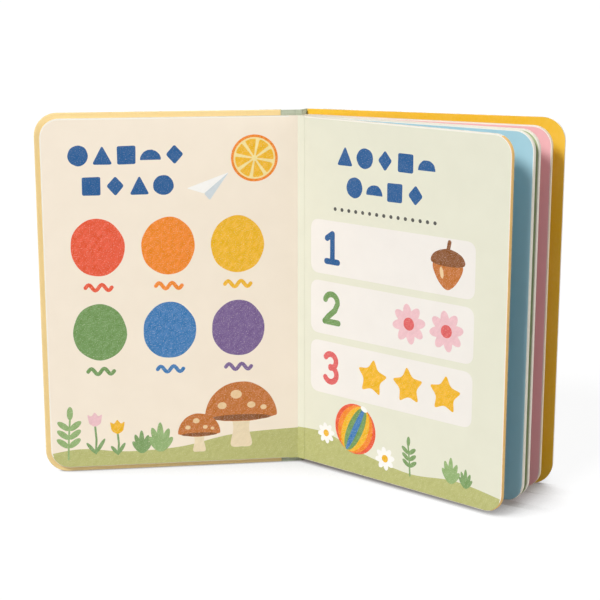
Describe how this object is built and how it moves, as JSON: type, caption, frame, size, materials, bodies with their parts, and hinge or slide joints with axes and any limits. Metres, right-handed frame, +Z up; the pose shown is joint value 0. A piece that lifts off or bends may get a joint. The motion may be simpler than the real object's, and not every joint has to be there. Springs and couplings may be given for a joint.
{
  "type": "board book",
  "caption": "Children's board book standing open: stiff covers hinged on a cloth spine, a first page pasted inside the front cover and a fan of thick leaves with round corners.",
  "frame": {"origin": "middle of the standing book's footprint, on the surface under its tail edges", "axes": "+Z up along the spine, +X across the open spread to the right, +Y away from the reader"},
  "size_m": [0.295, 0.1054, 0.211],
  "materials": {
    "front_board": "pale yellow matt laminated paper over board",
    "cream_page": "cream uncoated board with crayon-like print",
    "page_board": "tinted board leaves with pale cut edges",
    "spine_cloth": "sage green book cloth",
    "back_board": "off-white board",
    "gold_lining": "golden yellow lining paper"
  },
  "bodies": {
    "pages": {"page_block": "page_board", "spine": "spine_cloth"},
    "front_cover": {"front_cover": "front_board", "first_leaf": "cream_page", "front_joint_cloth": "spine_cloth"},
    "back_cover": {"back_cover": "back_board", "back_lining": "gold_lining", "back_joint_cloth": "spine_cloth"}
  },
  "joints": [
    {"name": "front_cover_hinge", "type": "hinge", "parent": "pages", "child": "front_cover", "pos_m": [0.0007, 0.04357, 0], "axis": [0, 0, 1], "range_deg": [-39, 130.6]},
    {"name": "back_cover_hinge", "type": "hinge", "parent": "pages", "child": "back_cover", "pos_m": [0.00603, 0.0518, 0], "axis": [0, 0, 1], "range_deg": [-5.7, 165]}
  ]
}
